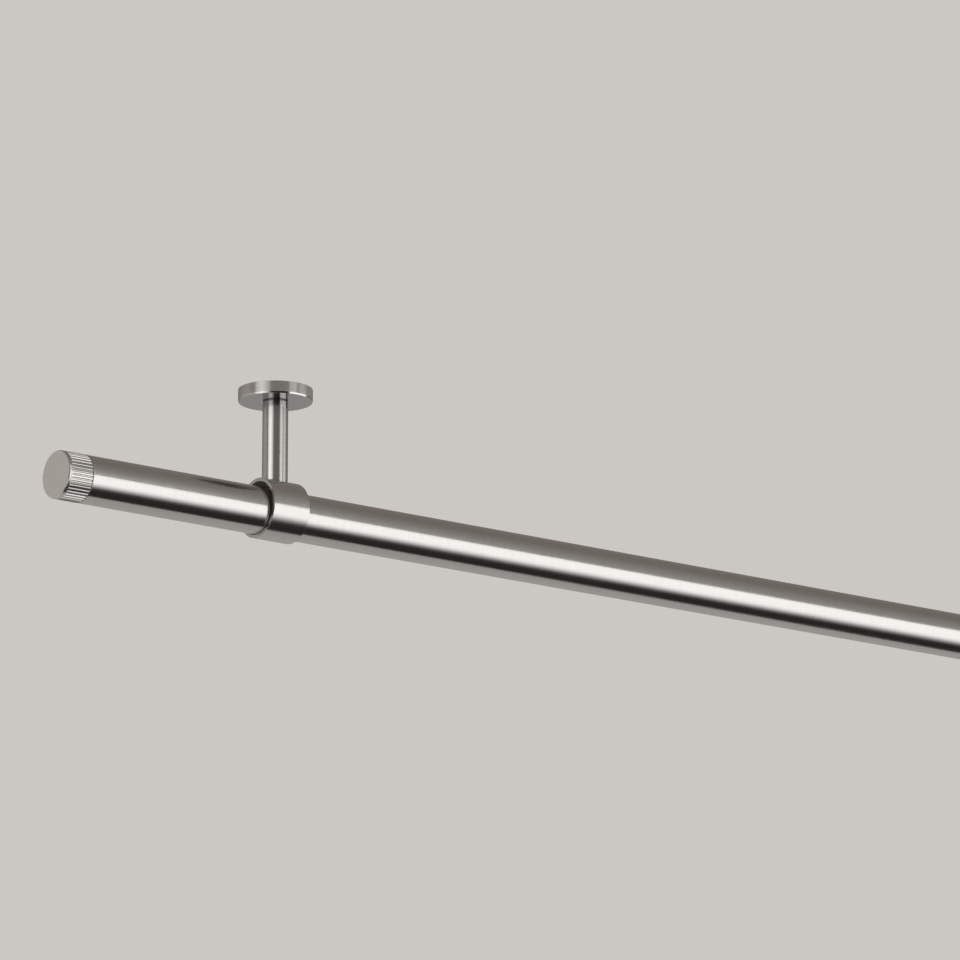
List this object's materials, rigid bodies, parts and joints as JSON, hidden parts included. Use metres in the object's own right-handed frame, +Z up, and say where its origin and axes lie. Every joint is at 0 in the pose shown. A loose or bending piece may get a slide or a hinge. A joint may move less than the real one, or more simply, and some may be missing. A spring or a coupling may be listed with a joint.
{
  "type": "ceiling-mounted curtain rod",
  "caption": "Round brushed-steel curtain rod with fluted end caps, hung under a ceiling by turned posts that end in rings around the rod.",
  "frame": {"origin": "on the ceiling plane, midway between the two brackets", "axes": "+X along the rod to the right, +Y towards the wall behind the rod, +Z up, out of the ceiling face of the brackets"},
  "size_m": [1.2, 0.0436, 0.0901],
  "materials": {
    "brushed_tube": "stainless steel, brushed around the tube",
    "brushed_cap": "stainless steel, turned face and bright flutes",
    "brushed_ring": "stainless steel, brushed around the ring",
    "turned_cover": "stainless steel, turned smooth",
    "turned_post": "stainless steel bar, drawn along its length",
    "plate_zinc": "zinc-plated steel, satin",
    "screw_zinc": "zinc-plated steel, satin",
    "screw_black": "black oxide, satin",
    "plug_nylon": "black nylon, moulded"
  },
  "bodies": {
    "brackets": {"left_ceiling_plate": "plate_zinc", "left_plate_stud": "screw_zinc", "left_base_cover": "turned_cover", "left_post": "turned_post", "left_ring": "brushed_ring", "left_ring_screw": "screw_zinc", "left_lock_screw": "screw_black", "right_ceiling_plate": "plate_zinc", "right_plate_stud": "screw_zinc", "right_base_cover": "turned_cover", "right_post": "turned_post", "right_ring": "brushed_ring", "right_ring_screw": "screw_zinc", "right_lock_screw": "screw_black"},
    "rod": {"rod_tube": "brushed_tube"},
    "left_cap": {"left_end_cap": "brushed_cap", "left_cap_plug": "plug_nylon", "left_cap_screw": "screw_zinc"},
    "right_cap": {"right_end_cap": "brushed_cap", "right_cap_plug": "plug_nylon", "right_cap_screw": "screw_zinc"}
  },
  "joints": [
    {"name": "rod_slide", "type": "slide", "parent": "brackets", "child": "rod", "axis": [1, 0, 0], "range_m": [-0.12, 0.12]},
    {"name": "left_cap_pull", "type": "slide", "parent": "rod", "child": "left_cap", "axis": [-1, 0, 0], "range_m": [0, 0.024]},
    {"name": "right_cap_pull", "type": "slide", "parent": "rod", "child": "right_cap", "axis": [1, 0, 0], "range_m": [0, 0.024]}
  ]
}
